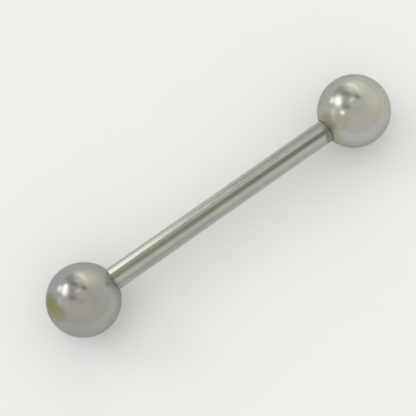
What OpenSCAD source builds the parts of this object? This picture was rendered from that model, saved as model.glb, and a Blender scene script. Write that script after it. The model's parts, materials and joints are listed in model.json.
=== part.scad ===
/* [Bar] */
// Diameter of the bar, 14 gauge
bar_d = 1.6; // [1.2:0.2:2.4]
// Length of bare bar between the two balls
bar_length = 17.5; // [8:0.5:25]
/* [Balls] */
// Diameter of each ball
ball_d = 5; // [4:0.5:8]
/* [Thread] */
// Distance between neighbouring threads
thread_pitch = 0.35; // [0.25:0.05:0.5]
// Depth of the thread
thread_depth = 0.2; // [0.15:0.01:0.25]
/* [Hidden] */

// Round faces are drawn with this many sides
round_sides = 128;

bar_r = bar_d / 2;
ball_r = ball_d / 2;

// The hole in a ball: room round the thread, and a 45 degree countersink at its mouth
hole_clearance = 0.02;
countersink = 0.03;
hole_r = bar_r + hole_clearance;
mouth_r = hole_r + countersink;
hole_depth = ball_d * 0.68;
drill_point_angle = 59;
drill_point = hole_r / tan(drill_point_angle);

// The mouth's rim lies on the ball, this far from its centre
seat = sqrt(ball_r * ball_r - mouth_r * mouth_r);

// The bar's shoulder sits in the countersink, this far inside the mouth
shoulder_sunk = 0.03;
shoulder_x = bar_length / 2 + shoulder_sunk;
ball_x = bar_length / 2 + seat;

// The stud at each end of the bar: a neck, the thread, and a chamfered tip
edge_chamfer = 0.03;
neck_length = 0.15;
tip_length = 0.15;
tip_room = 0.27;
thread_crest_r = bar_r - 0.01;
thread_root_r = thread_crest_r - thread_depth;
core_r = thread_root_r * 0.86;
tip_r = core_r - 0.1;
stud_room = hole_depth - shoulder_sunk - tip_room - neck_length - tip_length;
thread_turns = floor(stud_room / thread_pitch + 0.001);
thread_length = thread_turns * thread_pitch;
thread_x = shoulder_x + neck_length;
tip_x = thread_x + thread_length;

// The thread's surface is a grid: rows along the bar, columns round it
rows_per_turn = 6;
columns = 12;
thread_rows = thread_turns * rows_per_turn;
runout = thread_pitch / 2;

// Height of the thread over one pitch, 0 at the root and 1 at the crest, with both flat
function thread_wave(phase) =
    let (from_crest = abs(phase - floor(phase) - 0.5))
    min(1, max(0, (5 / 12 - from_crest) * 3));

// The thread fades in and out over half a turn
function thread_fade(x) = max(0, min(1, x / runout, (thread_length - x) / runout));

function thread_r(x, column) =
    thread_root_r
    + thread_depth * thread_fade(x) * thread_wave(x / thread_pitch - column / columns);

function thread_point(row, column) =
    let (
        x = thread_length * row / thread_rows,
        angle = 360 * column / columns,
        r = thread_r(x, column)
    )
    [r * cos(angle), r * sin(angle), x];

function grid_index(row, column) = row * columns + column % columns;

// A right-hand threaded rod along +Z, with its two flat ends closed
module threaded_rod() {
    points = [
        for (row = [0 : thread_rows], column = [0 : columns - 1])
            thread_point(row, column)
    ];
    lower_triangles = [
        for (row = [0 : thread_rows - 1], column = [0 : columns - 1])
            [
                grid_index(row, column),
                grid_index(row + 1, column + 1),
                grid_index(row, column + 1)
            ]
    ];
    upper_triangles = [
        for (row = [0 : thread_rows - 1], column = [0 : columns - 1])
            [
                grid_index(row, column),
                grid_index(row + 1, column),
                grid_index(row + 1, column + 1)
            ]
    ];
    near_end = [for (column = [0 : columns - 1]) column];
    far_end = [for (column = [columns - 1 : -1 : 0]) grid_index(thread_rows, column)];
    polyhedron(
        points = points,
        faces = concat(lower_triangles, upper_triangles, [near_end], [far_end])
    );
}

// The plain bar between its two shoulders, along +Z, with both edges chamfered
module plain_bar() {
    rotate_extrude($fn = round_sides)
        polygon([
            [0, -shoulder_x],
            [bar_r - edge_chamfer, -shoulder_x],
            [bar_r, -shoulder_x + edge_chamfer],
            [bar_r, shoulder_x - edge_chamfer],
            [bar_r - edge_chamfer, shoulder_x],
            [0, shoulder_x]
        ]);
}

// The core that joins neck, thread and tip, drawn along +Z from inside the bar
module stud_core() {
    rotate_extrude($fn = round_sides)
        polygon([
            [0, shoulder_x - edge_chamfer],
            [core_r, shoulder_x - edge_chamfer],
            [core_r, tip_x],
            [tip_r, tip_x + tip_length],
            [0, tip_x + tip_length]
        ]);
}

module stud() {
    stud_core();
    translate([0, 0, thread_x])
        threaded_rod();
}

// Lays a shape drawn along +Z along the bar, so that the balls rest on the ground
module along_bar() {
    translate([0, 0, ball_r])
        rotate([0, 90, 0])
            children();
}

module bar() {
    color("darkgray")
        along_bar() {
            plain_bar();
            stud();
            rotate([180, 0, 0])
                stud();
        }
}

// The blind hole of a ball, which opens towards -Z and is cut from just outside the ball
module ball_hole() {
    outside = ball_r + countersink;
    bottom = hole_depth - seat;
    rotate_extrude($fn = round_sides)
        polygon([
            [0, -outside],
            [mouth_r + outside - seat, -outside],
            [hole_r, countersink - seat],
            [hole_r, bottom],
            [0, bottom + drill_point]
        ]);
}

// A drilled ball, with its centre on the bar's axis and its hole facing the bar
module drilled_ball() {
    translate([0, 0, ball_x])
        difference() {
            sphere(r = ball_r, $fn = round_sides);
            ball_hole();
        }
}

module ball_right() {
    color("silver")
        along_bar()
            drilled_ball();
}

module ball_left() {
    color("silver")
        along_bar()
            rotate([180, 0, 0])
                drilled_ball();
}

bar();
ball_left();
ball_right();
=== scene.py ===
"""Looks of the straight barbell: polished steel bar and balls, fine threads, a pale floor and soft light."""

import json
import math

import bpy
from mathutils import Matrix, Vector


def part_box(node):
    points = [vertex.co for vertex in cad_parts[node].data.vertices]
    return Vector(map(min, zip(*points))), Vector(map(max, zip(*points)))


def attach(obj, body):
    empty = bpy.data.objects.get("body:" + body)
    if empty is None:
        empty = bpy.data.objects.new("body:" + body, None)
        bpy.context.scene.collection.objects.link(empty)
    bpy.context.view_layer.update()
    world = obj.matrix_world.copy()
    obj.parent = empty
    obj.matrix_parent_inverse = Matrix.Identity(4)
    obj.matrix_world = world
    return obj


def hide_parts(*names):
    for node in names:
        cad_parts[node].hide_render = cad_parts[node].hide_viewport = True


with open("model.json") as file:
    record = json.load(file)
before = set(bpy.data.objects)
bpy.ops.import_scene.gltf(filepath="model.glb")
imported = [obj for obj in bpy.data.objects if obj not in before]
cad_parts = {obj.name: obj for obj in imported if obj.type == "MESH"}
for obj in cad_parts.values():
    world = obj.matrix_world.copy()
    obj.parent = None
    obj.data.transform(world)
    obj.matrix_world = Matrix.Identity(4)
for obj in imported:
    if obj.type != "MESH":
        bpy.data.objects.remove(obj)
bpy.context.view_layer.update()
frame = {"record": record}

# Sizes that the frame gives, in metres
MM = 0.001
pin = next(m for m in frame["record"]["mounts"] if m["name"] == "bar")
BAR_R = pin["dims"]["r_mm"] * MM
AXIS_Z = pin["pos_m"][2]
BALL_R = AXIS_Z
STUD_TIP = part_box("bar")[1].x
MOUTH_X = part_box("ball_right")[0].x
BALL_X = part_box("ball_right")[1].x - BALL_R

# Sizes that part.scad gives, in metres
SHOULDER_X = MOUTH_X + 0.03 * MM
EDGE_CHAMFER = 0.03 * MM
NECK_LENGTH = 0.15 * MM
TIP_LENGTH = 0.15 * MM
PITCH = 0.35 * MM
CREST_R = BAR_R - 0.01 * MM
ROOT_R = CREST_R - 0.2 * MM
CORE_R = ROOT_R * 0.86
TIP_R = CORE_R - 0.1 * MM
HOLE_R = BAR_R + 0.02 * MM
MOUTH_R = HOLE_R + 0.03 * MM
HOLE_DEPTH = BALL_R * 2 * 0.68
DRILL_POINT = HOLE_R / math.tan(math.radians(59))

# What the meshes add: the small round at a ball's mouth, how far it runs down the countersink,
# the thread inside the holes, and the blunt end of the drill point as a share of it
MOUTH_ROUND = 0.02 * MM
MOUTH_ROUND_END = 0.7 * MOUTH_ROUND
TAPPED_DEPTH = 0.06 * MM
DRILL_TIP = 0.02

# How finely the meshes are cut, and the angle from which an edge is sharp, in degrees
SIDES = 160
BALL_RINGS = 96
ROWS_PER_TURN = 16
MOUTH_STEPS = 5
SHARP_ANGLE = 35

# Tones of the steel. The two balls are the same steel: the left one's darker tone is painted shade, and the
# right one's lighter, warmer tone is painted light. The bar's is a little cooler towards the right ball,
# from one place to another
BALL_LEFT_PAINTED_TONE = (0.405, 0.397, 0.377)
BALL_RIGHT_PAINTED_TONE = (0.49, 0.485, 0.445)
BAR_TONE_LEFT = (0.50, 0.50, 0.46)
BAR_TONE_RIGHT = (0.495, 0.50, 0.48)
BAR_TONE_FROM = -2 * MM
BAR_TONE_TO = 3 * MM

# Slow clouds of warmer and cooler steel: their tints, and the cloud's values where each is full
WARM_TINT = (1.05, 1.04, 0.97)
COOL_TINT = (0.95, 0.96, 1.00)
CLOUD_FROM = 0.35
CLOUD_TO = 0.65

# Finish of the steel: tint at grazing angles, roughness, and how far the bar's glints spread lengthways
BALL_EDGE = (0.74, 0.74, 0.74)
BALL_ROUGHNESS = 0.15
BAR_EDGE = (0.85, 0.85, 0.85)
BAR_ROUGHNESS = 0.17
BAR_ANISOTROPIC = 0.98
ANISOTROPIC_TURN = 0.25

# Polishing marks: how noise is stretched to give them, how far each next set is turned, in radians,
# the values between which a mark shows, and how rough and how deep they are
BALL_MARKS = ((5200.0, 400.0, 900.0), (500.0, 4800.0, 700.0))
BAR_MARKS = ((9000.0, 300.0, 300.0),)
MARK_TURN = (0.4, 0.7, 0.5)
MARK_FROM = 0.56
MARK_TO = 0.74
MARK_ROUGHNESS = 0.05
MARK_BUMP = 0.06
MARK_DEPTH = 0.01 * MM

# Fine noise in the roughness: the values between which it rises, and how much it adds
FINE_FROM = 0.4
FINE_TO = 0.7
FINE_ROUGHNESS = 0.03

# How fine each noise is, as its scale in metres
CLOUD_SCALE = 420.0
FINE_SCALE = 2600.0
STAIN_SCALE = 1100.0
JOINT_SHADE_SCALE = 2500.0

# Round its mouth a ball is duller: roughness there, and the cosines where that begins and is full
MOUTH_DULL = 0.16
DULL_FROM = 0.68
DULL_FULL = 0.86

# Stains and painted reflections: patches of darker and lighter steel that paint the dark and pale things
# each ball reflects, among olive and brown stains. A later one lies over an earlier one
# direction from the ball's centre, cosine of the angle that it spreads over, softness, tint
LEFT_STAINS_AND_PAINTED_REFLECTIONS = (
    ((1.00, 0.00, 0.20), 0.86, 0.08, (0.95, 0.95, 0.88)),
    ((0.10, -0.75, 0.65), 0.94, 0.05, (0.99, 1.00, 0.92)),
    ((0.60, 0.50, 0.62), 0.93, 0.07, (0.97, 0.99, 1.03)),
    ((0.55, -0.20, 0.81), 0.95, 0.05, (0.98, 1.00, 1.01)),
    ((0.45, 0.24, 0.88), 0.955, 0.045, (1.08, 1.08, 1.05)),
    ((0.38, -0.21, 0.92), 0.97, 0.028, (0.90, 0.90, 0.90)),
    ((-0.54, -0.62, 0.49), 0.93, 0.06, (0.93, 0.94, 0.955)),
    ((-0.22, 0.85, 0.50), 0.95, 0.05, (0.90, 0.95, 1.08)),
    ((-0.94, 0.06, 0.22), 0.965, 0.03, (0.93, 0.92, 0.73)),
    ((-0.95, 0.17, 0.20), 0.975, 0.024, (0.70, 0.69, 0.48)),
    ((-0.70, -0.06, 0.63), 0.975, 0.024, (0.75, 0.77, 0.52)),
    ((-0.73, 0.30, 0.54), 0.963, 0.037, (0.68, 0.66, 0.33)),
)
RIGHT_STAINS_AND_PAINTED_REFLECTIONS = (
    ((-1.00, 0.00, 0.20), 0.88, 0.07, (0.92, 0.92, 0.85)),
    ((-0.87, 0.15, 0.47), 0.975, 0.022, (0.72, 0.70, 0.62)),
    ((0.37, 0.50, 0.72), 0.968, 0.03, (1.045, 1.045, 1.045)),
    ((0.42, 0.80, 0.44), 0.97, 0.02, (0.86, 0.86, 0.80)),
    ((-0.45, 0.69, 0.55), 0.90, 0.08, (0.86, 0.87, 0.875)),
    ((-0.62, -0.17, 0.76), 0.965, 0.035, (0.92, 0.90, 0.84)),
    ((-0.52, -0.78, 0.34), 0.90, 0.08, (0.96, 0.97, 1.03)),
    ((0.35, -0.60, 0.72), 0.95, 0.05, (1.00, 1.01, 0.96)),
    ((-0.12, -0.55, 0.81), 0.92, 0.06, (1.01, 1.00, 0.97)),
)
# How ragged the edge of each stain and painted reflection patch is, as a change of cosine
RAGGED = 0.06

# Darker lines along the bar, in degrees round it from the top towards +Y. The first three are painted
# reflection: the dark camera above along the top, and darker bands along the lower edge and, towards the
# right ball, on the highlight side. The rest, round the underside, are drawing marks
# angle, half width and depth at the middle, and what is added to each at the +X shoulder
BAR_STREAKS = (
    (-6, 12, 0.86, -6, -1.2, 0.14),
    (-54, 11, 0.40, -4, -2.2, -0.06),
    (35, 8, 0.36, 0, 4.8, 0.22),
    (98, 10, 0.54, 4, 0, 0),
    (150, 12, 0.81, -3, 0, 0),
    (-150, 9, 0.54, 3, 0, 0),
    (-100, 7, 0.36, 0, 0, 0),
)
# How far a line fades to either side of its half width, as a share of it, and its tint where it is deepest
STREAK_FADE = 0.65
STREAK_TINT = (0.38, 0.38, 0.33)

# Painted shade on the bar beside each ball, with the ball's dark reflection, where the bar enters it: its
# lengths and strengths at the two ends, and its tint
JOINT_SHADE_LEFT = 0.12 * MM
JOINT_SHADE_LEFT_STRENGTH = 0.35
JOINT_SHADE_RIGHT = 0.46 * MM
JOINT_SHADE_RIGHT_STRENGTH = 0.95
JOINT_SHADE_TINT = (0.42, 0.43, 0.33)
# Each is full at this share of its length from the ball. The right one then eases, by the next share,
# to what is left of it right at the ball
JOINT_SHADE_FULL_AT = 0.4
JOINT_SHADE_EASED_AT = 0.1
JOINT_SHADE_INNER = 0.8
# How far its edge leans back towards -Y and how ragged it is, then its share on the +Y side, and the places
# across the bar where that begins and is reached. The painted shade reaches further on the shaded -Y side
# and is weaker on the lit +Y side
JOINT_SHADE_LEAN = 0.24
JOINT_SHADE_RAGGED = 0.2 * MM
JOINT_SHADE_FAR_SIDE = 0.5
FAR_SIDE_FROM = -0.15 * MM
FAR_SIDE_TO = 0.3 * MM

# Soft shapes in the studio's light dome
# Azimuth runs from +Y towards +X, in degrees as elevation and roll are. Sizes are tangents of half angles
# name, azimuth, elevation, half width, half height, roll, softness, colour, strength
DOME_PATCHES = (
    ("pale_right", 95, 30, 0.60, 0.45, 0, 0.8, (1.0, 1.0, 0.93), 0.92),
    ("dull_left", -80, 24, 0.50, 0.30, 0, 0.8, (1.0, 1.0, 0.92), 0.75),
    ("pale_left", -60, 15, 0.18, 0.17, 0, 0.7, (1.0, 1.0, 0.95), 1.02),
    ("pale_wall", 42, 23, 0.45, 0.55, 0, 0.6, (1.0, 1.0, 0.90), 1.06),
    ("bright_edge", 31, 19, 0.11, 0.42, 37, 0.6, (1.0, 1.0, 0.96), 1.45),
    ("dark_strip", 1, 22, 0.16, 0.46, 0, 0.6, (1.0, 1.0, 0.96), 0.56),
    ("dark_wide", -5, 58, 0.44, 0.28, 0, 0.6, (1.0, 1.0, 0.94), 0.62),
    ("dark_core", 4, 40, 0.10, 0.20, 25, 0.7, (1.0, 1.0, 0.93), 0.36),
    ("dark_left", -57, 61, 0.11, 0.23, -10, 0.7, (1.0, 1.0, 0.93), 0.42),
    ("dark_right", 46, 60, 0.13, 0.11, -30, 0.7, (1.0, 1.0, 0.93), 0.32),
    ("gap", 5, 67, 0.15, 0.11, 0, 0.7, (1.0, 1.0, 0.92), 1.25),
    ("dark_top", -145, 79, 0.20, 0.14, 0, 0.8, (1.0, 1.0, 0.90), 0.70),
    ("pink_wall", -73, 38, 0.20, 0.20, 0, 0.7, (1.0, 0.93, 1.02), 0.92),
    ("window", -31, 31, 0.24, 0.17, 38, 0.8, (1.0, 1.0, 0.98), 2.6),
    ("window_side", -30, 10, 0.12, 0.14, 0, 0.7, (1.0, 1.0, 0.98), 2.1),
)
DOME_BASE = (0.79, 0.785, 0.765, 1.0)
# Near the horizon the dome takes the floor's own brightness, so that no edge shows in the steel
HORIZON = (0.79, 0.79, 0.775, 1.0)
HORIZON_SINE = 0.3

# The floor, and the broad soft light that lifts it alone
FLOOR_HALF = 3.0
FLOOR_COLOUR = (0.90, 0.90, 0.91, 1.0)
FLOOR_ROUGHNESS = 0.9
FLOOR_LIGHT_STRENGTH = 0.45
FLOOR_LIGHT_SPREAD = 60
FLOOR_LIGHT_TILT_X = -30
FLOOR_LIGHT_TILT_Y = -15

# The photograph's camera, whose frame is 416 by 416 pixels
CAMERA_AZIMUTH = -35.44
CAMERA_ELEVATION = 78.74
CAMERA_DISTANCE = 88.81 * MM
CAMERA_AIM = (-0.85 * MM, -0.262 * MM)
CAMERA_LENS = 114.97
CAMERA_SENSOR = 36.0
CAMERA_NEAR = 0.001
CAMERA_FAR = 10.0


def rings_to_mesh(name, rings, closed_start, closed_end):
    """A mesh from rings of points, each a list of (x, y, z) with as many points as the next."""
    sides = len(rings[0])
    points = [p for ring in rings for p in ring]
    faces = []
    for i in range(len(rings) - 1):
        for j in range(sides):
            k = (j + 1) % sides
            a, b = i * sides, (i + 1) * sides
            faces.append((a + j, a + k, b + k, b + j))
    if closed_start:
        points.append(tuple(sum(c) / sides for c in zip(*rings[0])))
        centre = len(points) - 1
        faces += [(centre, (j + 1) % sides, j) for j in range(sides)]
    if closed_end:
        points.append(tuple(sum(c) / sides for c in zip(*rings[-1])))
        centre, last = len(points) - 1, (len(rings) - 1) * sides
        faces += [(centre, last + j, last + (j + 1) % sides) for j in range(sides)]
    mesh = bpy.data.meshes.new(name)
    mesh.from_pydata(points, [], faces)
    mesh.validate()
    return mesh


def ring(x, radius):
    """A ring of points round the X axis; radius is a number or a function of the angle in turns."""
    out = []
    for j in range(SIDES):
        turn = j / SIDES
        r = radius(turn) if callable(radius) else radius
        angle = 2 * math.pi * turn
        out.append((x, r * math.cos(angle), r * math.sin(angle)))
    return out


def finish_piece(name, mesh, turned):
    """The object of a mesh that was drawn round the X axis; turned swaps its two ends about Z."""
    if turned:
        mesh.transform(Matrix.Rotation(math.pi, 4, "Z"))
    mesh.transform(Matrix.Translation((0, 0, AXIS_Z)))
    mesh.shade_smooth()
    mesh.set_sharp_from_angle(angle=math.radians(SHARP_ANGLE))
    obj = bpy.data.objects.new(name, mesh)
    bpy.context.scene.collection.objects.link(obj)
    return obj


def thread_wave(phase):
    """Height of the thread over one pitch, 0 at the root and 1 at the crest, with both flat."""
    from_crest = abs(phase - math.floor(phase) - 0.5)
    return min(1.0, max(0.0, (5 / 12 - from_crest) * 3))


def stud_rings(start, end):
    """Rings of one threaded stud, from the bar's shoulder to the tip."""
    thread_start = start + NECK_LENGTH
    length = round((end - TIP_LENGTH - thread_start) / PITCH) * PITCH
    rows = round(length / PITCH) * ROWS_PER_TURN
    runout = PITCH / 2
    out = [ring(start, CORE_R), ring(thread_start, CORE_R)]
    for i in range(rows + 1):
        along = length * i / rows
        fade = max(0.0, min(1.0, along / runout, (length - along) / runout))
        out.append(
            ring(
                thread_start + along,
                lambda turn: ROOT_R
                + (CREST_R - ROOT_R) * fade * thread_wave(along / PITCH - turn),
            )
        )
    thread_end = thread_start + length
    out += [ring(thread_end, CORE_R), ring(thread_end + TIP_LENGTH, TIP_R)]
    return out


def make_bar():
    """The whole bar: a plain middle and, on each end, a stud with a right-hand thread."""
    right = [ring(SHOULDER_X - EDGE_CHAMFER, BAR_R), ring(SHOULDER_X, BAR_R - EDGE_CHAMFER)]
    right += stud_rings(SHOULDER_X, STUD_TIP)
    turn_over = Matrix.Rotation(math.pi, 4, "Z")
    left = [[tuple(turn_over @ Vector(p)) for p in points] for points in right]
    # The turned rings run backwards, so their points are put in the same order as the right-hand ones
    half = SIDES // 2
    left = [[points[(half - j) % SIDES] for j in range(SIDES)] for points in reversed(left)]
    mesh = rings_to_mesh("bar_polished", left + right, True, True)
    return finish_piece("bar_polished", mesh, False)


def mouth_round(mouth):
    """Rings of the small round where the ball's surface turns into its countersink."""
    lead = MOUTH_ROUND / BALL_R
    start = Vector((BALL_X - BALL_R * math.cos(mouth + lead), BALL_R * math.sin(mouth + lead)))
    corner = Vector((MOUTH_X, MOUTH_R))
    end = corner + Vector((MOUTH_ROUND_END, -MOUTH_ROUND_END))
    out = []
    for i in range(MOUTH_STEPS + 1):
        t = i / MOUTH_STEPS
        point = start * (1 - t) ** 2 + corner * 2 * t * (1 - t) + end * t**2
        out.append(ring(point.x, point.y))
    return out


def make_ball(name, turned):
    """A ball on the bar's axis, with its drilled and tapped hole."""
    mouth = math.asin(MOUTH_R / BALL_R)
    rings = []
    for i in range(BALL_RINGS):
        angle = math.pi - (math.pi - mouth) * (i + 1) / BALL_RINGS
        rings.append(ring(BALL_X - BALL_R * math.cos(angle), BALL_R * math.sin(angle)))
    rings[-1:] = mouth_round(mouth)
    bore_x = MOUTH_X + MOUTH_R - HOLE_R
    rings.append(ring(bore_x, HOLE_R))
    tapped = HOLE_DEPTH - (MOUTH_R - HOLE_R) - PITCH
    rows = round(tapped / PITCH * ROWS_PER_TURN)
    for i in range(1, rows):
        along = tapped * i / rows
        fade = max(0.0, min(1.0, along / PITCH, (tapped - along) / PITCH))
        rings.append(
            ring(
                bore_x + along,
                lambda turn: HOLE_R + TAPPED_DEPTH * fade * thread_wave(along / PITCH - turn),
            )
        )
    bottom = MOUTH_X + HOLE_DEPTH
    rings.append(ring(bottom, HOLE_R))
    rings.append(ring(bottom + DRILL_POINT * (1 - DRILL_TIP), HOLE_R * DRILL_TIP))
    # From the drill point outwards, so that the faces look out of the steel
    mesh = rings_to_mesh(name, rings[::-1], True, True)
    return finish_piece(name, mesh, turned)


class Nodes:
    """Short calls for building a shader tree."""

    def __init__(self, tree):
        self.tree = tree
        tree.nodes.clear()

    def add(self, kind, inputs=None, **settings):
        node = self.tree.nodes.new(kind)
        for key, value in settings.items():
            setattr(node, key, value)
        for key, value in (inputs or {}).items():
            if isinstance(value, bpy.types.NodeSocket):
                self.tree.links.new(value, node.inputs[key])
            else:
                node.inputs[key].default_value = value
        return node

    def math(self, operation, *values):
        return self.add("ShaderNodeMath", dict(enumerate(values)), operation=operation).outputs[0]

    def vector(self, operation, *values):
        return self.add("ShaderNodeVectorMath", dict(enumerate(values)), operation=operation)

    def dot(self, a, b):
        return self.vector("DOT_PRODUCT", a, b).outputs["Value"]

    def noise(self, place, scale, **more):
        return self.add("ShaderNodeTexNoise", {"Vector": place, "Scale": scale, **more}).outputs[0]

    def ramp(self, value, low, high):
        """0 below low, 1 above high, smooth between."""
        node = self.add(
            "ShaderNodeMapRange",
            {"Value": value, "From Min": low, "From Max": high},
            interpolation_type="SMOOTHSTEP",
        )
        return node.outputs[0]

    def mix(self, factor, a, b):
        node = self.add("ShaderNodeMix", {0: factor, 6: a, 7: b}, data_type="RGBA")
        return node.outputs[2]


def new_material(name):
    """A material, the short calls for its nodes, and the place on the object."""
    material = bpy.data.materials.new(name)
    material.use_nodes = True
    nodes = Nodes(material.node_tree)
    place = nodes.add("ShaderNodeTexCoord").outputs["Object"]
    return material, nodes, place


def tinted(tone, tint):
    return tuple(c * k for c, k in zip(tone, tint)) + (1.0,)


def spot(nodes, place, centre, towards, cosine, soft):
    """1 on the part of a round piece that faces towards, and 0 past the angle with that cosine."""
    out = nodes.vector("SUBTRACT", place, centre).outputs[0]
    out = nodes.vector("NORMALIZE", out).outputs[0]
    ragged = nodes.math("SUBTRACT", nodes.noise(place, STAIN_SCALE, Detail=3.0), 0.5)
    ragged = nodes.math("MULTIPLY", ragged, RAGGED)
    facing = nodes.math("ADD", nodes.dot(out, Vector(towards).normalized()), ragged)
    return nodes.ramp(facing, cosine - soft, cosine + soft)


def polish_marks(nodes, place, stretches):
    """Faint straight marks of the polishing wheel: noise that is stretched across each direction."""
    marks = None
    for i, stretch in enumerate(stretches):
        turn = tuple(angle * i for angle in MARK_TURN)
        settings = {"Vector": place, "Rotation": turn, "Scale": stretch}
        turned = nodes.add("ShaderNodeMapping", settings).outputs[0]
        line = nodes.ramp(nodes.noise(turned, 1.0, Detail=3.0), MARK_FROM, MARK_TO)
        marks = line if marks is None else nodes.math("MAXIMUM", marks, line)
    return marks


def steel_colour(nodes, place, tone):
    """The steel's tone, a little warmer and cooler in slow clouds."""
    cloud = nodes.noise(place, CLOUD_SCALE, Detail=4.0, Roughness=0.55)
    share = nodes.ramp(cloud, CLOUD_FROM, CLOUD_TO)
    return nodes.mix(share, tinted(tone, WARM_TINT), tinted(tone, COOL_TINT))


def finish_steel(nodes, place, colour, marks, edge, roughness, anisotropic):
    """The steel's shader; only a part with anisotropic above 0 has its glints spread along X."""
    fine = nodes.ramp(nodes.noise(place, FINE_SCALE, Detail=3.0), FINE_FROM, FINE_TO)
    rough = nodes.math("ADD", roughness, nodes.math("MULTIPLY", fine, FINE_ROUGHNESS))
    rough = nodes.math("ADD", rough, nodes.math("MULTIPLY", marks, MARK_ROUGHNESS))
    relief = {"Strength": MARK_BUMP, "Distance": MARK_DEPTH, "Height": marks}
    bump = nodes.add("ShaderNodeBump", relief)
    inputs = {
        "Base Color": colour,
        "Metallic": 1.0,
        "Roughness": rough,
        "Specular Tint": edge + (1.0,),
        "Normal": bump.outputs[0],
        "Anisotropic": anisotropic,
    }
    if anisotropic:
        tangent = nodes.add("ShaderNodeTangent", direction_type="RADIAL", axis="X")
        inputs["Anisotropic Rotation"] = ANISOTROPIC_TURN
        inputs["Tangent"] = tangent.outputs[0]
    shader = nodes.add("ShaderNodeBsdfPrincipled", inputs)
    nodes.add("ShaderNodeOutputMaterial", {"Surface": shader.outputs[0]})


def ball_steel(name, tone, centre, stains_and_painted_reflections):
    """Polished ball with its stains and painted reflections, and the duller steel round its mouth."""
    material, nodes, place = new_material(name)
    colour = steel_colour(nodes, place, tone)
    # Stains, and painted reflections of the dark and pale things round the ball
    for towards, cosine, soft, tint in stains_and_painted_reflections:
        covered = spot(nodes, place, centre, towards, cosine, soft)
        colour = nodes.mix(covered, colour, tinted(tone, tint))
    marks = polish_marks(nodes, place, BALL_MARKS)
    towards_mouth = (-math.copysign(1.0, centre[0]), 0.0, 0.0)
    middle = (DULL_FULL + DULL_FROM) / 2
    spread = (DULL_FULL - DULL_FROM) / 2
    dull = spot(nodes, place, centre, towards_mouth, middle, spread)
    roughness = nodes.math("MULTIPLY_ADD", dull, MOUTH_DULL, BALL_ROUGHNESS)
    finish_steel(nodes, place, colour, marks, BALL_EDGE, roughness, 0.0)
    return material


def streaks_and_painted_reflection(nodes, along, across, height):
    """1 on the darker lines that run along the bar, at the angles round it that BAR_STREAKS lists: painted
    reflection on the top and sides, drawing marks underneath.
    """
    angle = nodes.math("ARCTAN2", across, nodes.math("SUBTRACT", height, AXIS_Z))
    share = nodes.math("DIVIDE", along, SHOULDER_X)
    streaks = None
    for middle, half_width, depth, more_angle, more_width, more_depth in BAR_STREAKS:
        centre = nodes.math("MULTIPLY_ADD", share, math.radians(more_angle), math.radians(middle))
        width = nodes.math("MULTIPLY_ADD", share, math.radians(more_width), math.radians(half_width))
        off = nodes.math("SUBTRACT", angle, centre)
        off = nodes.math("ABSOLUTE", nodes.math("WRAP", off, math.pi, -math.pi))
        outside = nodes.ramp(nodes.math("DIVIDE", off, width), 1 - STREAK_FADE, 1 + STREAK_FADE)
        streak = nodes.math("SUBTRACT", 1.0, outside)
        streak = nodes.math("MULTIPLY", streak, nodes.math("MULTIPLY_ADD", share, more_depth, depth))
        streaks = streak if streaks is None else nodes.math("MAXIMUM", streaks, streak)
    return streaks


def painted_joint_shade(nodes, place, along, across):
    """1 on the painted shade and dark reflection of the balls on the bar beside them, less on the lit side
    towards +Y.
    """
    ragged = nodes.math("SUBTRACT", nodes.noise(place, JOINT_SHADE_SCALE, Detail=3.0), 0.5)
    lean = nodes.math("MULTIPLY", across, -JOINT_SHADE_LEAN)
    shift = nodes.math("MULTIPLY_ADD", ragged, JOINT_SHADE_RAGGED, lean)
    along_right = nodes.math("ADD", shift, along)
    along_left = nodes.math("SUBTRACT", shift, along)
    right_full = SHOULDER_X - JOINT_SHADE_RIGHT * JOINT_SHADE_FULL_AT
    right_eased = SHOULDER_X - JOINT_SHADE_RIGHT * JOINT_SHADE_EASED_AT
    left_full = SHOULDER_X - JOINT_SHADE_LEFT * JOINT_SHADE_FULL_AT
    right = nodes.ramp(along_right, SHOULDER_X - JOINT_SHADE_RIGHT, right_full)
    inner = nodes.ramp(along_right, right_full, right_eased)
    right = nodes.math("MULTIPLY", right, nodes.math("MULTIPLY_ADD", inner, JOINT_SHADE_INNER - 1.0, 1.0))
    right = nodes.math("MULTIPLY", right, JOINT_SHADE_RIGHT_STRENGTH)
    left = nodes.ramp(along_left, SHOULDER_X - JOINT_SHADE_LEFT, left_full)
    left = nodes.math("MULTIPLY", left, JOINT_SHADE_LEFT_STRENGTH)
    far_side = nodes.ramp(across, FAR_SIDE_FROM, FAR_SIDE_TO)
    share = nodes.math("MULTIPLY_ADD", far_side, JOINT_SHADE_FAR_SIDE - 1.0, 1.0)
    return nodes.math("MULTIPLY", nodes.math("MAXIMUM", left, right), share)


def bar_steel(name):
    """Drawn and turned bar: darker lines along it, partly painted reflection, painted shade beside the
    balls, and polish that spreads its glints lengthways.
    """
    material, nodes, place = new_material(name)
    axes = nodes.add("ShaderNodeSeparateXYZ", {"Vector": place})
    along, across, height = (axes.outputs[i] for i in range(3))
    cooler = nodes.ramp(along, BAR_TONE_FROM, BAR_TONE_TO)
    left = steel_colour(nodes, place, BAR_TONE_LEFT)
    right = steel_colour(nodes, place, BAR_TONE_RIGHT)
    colour = nodes.mix(cooler, left, right)
    # The darker lines: painted reflection of the dark camera and of darker bands on the top and sides,
    # drawing marks underneath
    dark_left = tinted(BAR_TONE_LEFT, STREAK_TINT)
    dark_right = tinted(BAR_TONE_RIGHT, STREAK_TINT)
    dark = nodes.mix(cooler, dark_left, dark_right)
    colour = nodes.mix(streaks_and_painted_reflection(nodes, along, across, height), colour, dark)
    # Painted shade and the balls' dark reflection where the bar enters them
    joint_shade = painted_joint_shade(nodes, place, along, across)
    colour = nodes.mix(joint_shade, colour, tinted(BAR_TONE_LEFT, JOINT_SHADE_TINT))
    marks = polish_marks(nodes, place, BAR_MARKS)
    finish_steel(nodes, place, colour, marks, BAR_EDGE, BAR_ROUGHNESS, BAR_ANISOTROPIC)
    return material


def dress(obj, body, node, material):
    obj.data.materials.append(material)
    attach(obj, body)
    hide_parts(node)


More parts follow.
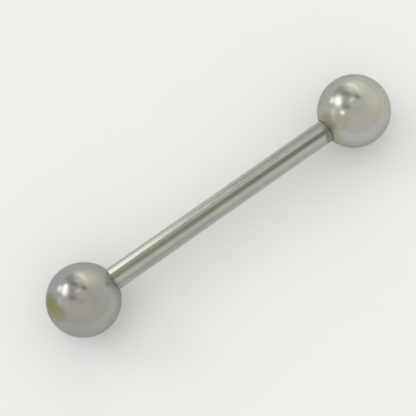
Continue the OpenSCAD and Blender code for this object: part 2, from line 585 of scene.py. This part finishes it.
def dome_patch(nodes, direction, sky, azimuth, elevation, half_w, half_h, roll, softness, colour, strength):
    """The dome's colour with one soft elliptic shape laid over it."""
    azimuth, elevation, roll = (math.radians(v) for v in (azimuth, elevation, roll))
    level = math.cos(elevation)
    towards = Vector((math.sin(azimuth) * level, math.cos(azimuth) * level, math.sin(elevation)))
    side = Vector((math.cos(azimuth), -math.sin(azimuth), 0))
    up = side.cross(towards)
    turn = Matrix.Rotation(roll, 3, towards)
    side, up = turn @ side, turn @ up
    ahead = nodes.dot(direction, towards)
    safe = nodes.math("MAXIMUM", ahead, 0.001)
    across = nodes.math("DIVIDE", nodes.dot(direction, side), safe)
    across = nodes.math("DIVIDE", across, half_w)
    upward = nodes.math("DIVIDE", nodes.dot(direction, up), safe)
    upward = nodes.math("DIVIDE", upward, half_h)
    across_squared = nodes.math("MULTIPLY", across, across)
    upward_squared = nodes.math("MULTIPLY", upward, upward)
    distance = nodes.math("SQRT", nodes.math("ADD", across_squared, upward_squared))
    inside = nodes.math("SUBTRACT", 1.0, nodes.ramp(distance, 1 - softness, 1 + softness))
    inside = nodes.math("MULTIPLY", inside, nodes.math("GREATER_THAN", ahead, 0.0))
    return nodes.mix(inside, sky, tuple(c * strength for c in colour) + (1.0,))


def make_dome():
    world = bpy.data.worlds.new("studio")
    bpy.context.scene.world = world
    world.use_nodes = True
    nodes = Nodes(world.node_tree)
    direction = nodes.add("ShaderNodeTexCoord").outputs["Generated"]
    direction = nodes.vector("NORMALIZE", direction).outputs[0]
    above = nodes.ramp(nodes.dot(direction, (0, 0, 1)), 0.0, HORIZON_SINE)
    sky = nodes.mix(above, HORIZON, DOME_BASE)
    for _, *patch in DOME_PATCHES:
        sky = dome_patch(nodes, direction, sky, *patch)
    background = nodes.add("ShaderNodeBackground", {"Color": sky, "Strength": 1.0})
    nodes.add("ShaderNodeOutputWorld", {"Surface": background.outputs[0]})


def light_only(light, piece):
    """Lets a light shine on one piece alone."""
    lit = bpy.data.collections.new(light.name + "_lights")
    lit.objects.link(piece)
    light.light_linking.receiver_collection = lit


def make_lamp(name, only, place_mm, aim_x_mm, size_mm, radiance, shape="ELLIPSE"):
    """A soft light for one piece alone, faced at a point of the bar's axis."""
    data = bpy.data.lights.new(name, "AREA")
    data.shape = shape
    data.size, data.size_y = (v * MM for v in size_mm)
    area = data.size * data.size_y * (math.pi / 4 if shape == "ELLIPSE" else 1)
    data.energy = radiance * math.pi * area
    lamp = bpy.data.objects.new(name, data)
    bpy.context.scene.collection.objects.link(lamp)
    lamp.location = Vector(place_mm) * MM
    lamp.rotation_mode = "QUATERNION"
    aim = Vector((aim_x_mm * MM, 0, AXIS_Z))
    lamp.rotation_quaternion = (aim - lamp.location).to_track_quat("-Z", "Y")
    light_only(lamp, only)


def make_floor():
    corners = [(-1, -1), (1, -1), (1, 1), (-1, 1)]
    mesh = bpy.data.meshes.new("floor")
    mesh.from_pydata([(x * FLOOR_HALF, y * FLOOR_HALF, 0) for x, y in corners], [], [(0, 1, 2, 3)])
    floor = bpy.data.objects.new("floor", mesh)
    bpy.context.scene.collection.objects.link(floor)
    material = bpy.data.materials.new("floor_paper")
    material.use_nodes = True
    nodes = Nodes(material.node_tree)
    paper = {"Base Color": FLOOR_COLOUR, "Roughness": FLOOR_ROUGHNESS, "Specular IOR Level": 0.0}
    shader = nodes.add("ShaderNodeBsdfPrincipled", paper)
    nodes.add("ShaderNodeOutputMaterial", {"Surface": shader.outputs[0]})
    mesh.materials.append(material)
    return floor


def make_floor_light(floor):
    """A broad soft light that lifts the floor alone, from the window's side."""
    data = bpy.data.lights.new("floor_light", "SUN")
    data.energy = FLOOR_LIGHT_STRENGTH
    data.angle = math.radians(FLOOR_LIGHT_SPREAD)
    light = bpy.data.objects.new("floor_light", data)
    bpy.context.scene.collection.objects.link(light)
    light.rotation_euler = (math.radians(FLOOR_LIGHT_TILT_X), math.radians(FLOOR_LIGHT_TILT_Y), 0)
    light_only(light, floor)


def make_camera():
    data = bpy.data.cameras.new("camera")
    data.sensor_width = CAMERA_SENSOR
    data.lens = CAMERA_LENS
    data.clip_start = CAMERA_NEAR
    data.clip_end = CAMERA_FAR
    camera = bpy.data.objects.new("camera", data)
    bpy.context.scene.collection.objects.link(camera)
    azimuth = math.radians(CAMERA_AZIMUTH)
    elevation = math.radians(CAMERA_ELEVATION)
    level = math.cos(elevation)
    back = Vector((math.sin(azimuth) * level, -math.cos(azimuth) * level, math.sin(elevation)))
    right = Vector((math.cos(azimuth), math.sin(azimuth), 0))
    up = back.cross(right)
    aim = Vector((0, 0, AXIS_Z)) + right * CAMERA_AIM[0] + up * CAMERA_AIM[1]
    facing = Matrix((right, up, back)).transposed().to_4x4()
    camera.matrix_world = Matrix.Translation(aim + back * CAMERA_DISTANCE) @ facing
    bpy.context.scene.camera = camera


bar = make_bar()
dress(bar, "bar", "bar", bar_steel("bar_steel"))
left = ball_steel("left_ball_steel", BALL_LEFT_PAINTED_TONE, (-BALL_X, 0, AXIS_Z), LEFT_STAINS_AND_PAINTED_REFLECTIONS)
left_ball = make_ball("ball_left_polished", True)
dress(left_ball, "ball_left", "ball_left", left)
right = ball_steel("right_ball_steel", BALL_RIGHT_PAINTED_TONE, (BALL_X, 0, AXIS_Z), RIGHT_STAINS_AND_PAINTED_REFLECTIONS)
right_ball = make_ball("ball_right_polished", False)
dress(right_ball, "ball_right", "ball_right", right)

make_floor_light(make_floor())
make_dome()
# name, the piece it lights, its place, the point along the bar that it faces, its size, its brightness.
# Places and sizes are in millimetres
make_lamp("window_lamp", left_ball, (-40, 85, 50), -11, (20, 20), 1.0)
make_lamp("glint_lamp", right_ball, (-58.5, 15.5, 73), -58.5, (24, 24), 1.4)
make_lamp("bar_lamp", bar, (-16, 46, 20), -16, (30, 40), 1.4, "RECTANGLE")
make_lamp("right_end_lamp", bar, (60, 15, 41), 0, (60, 70), 0.9)
make_lamp("left_end_lamp", bar, (-68, 12, 34), 0, (60, 70), 0.55)
make_camera()
bpy.context.scene.view_settings.view_transform = "Standard"
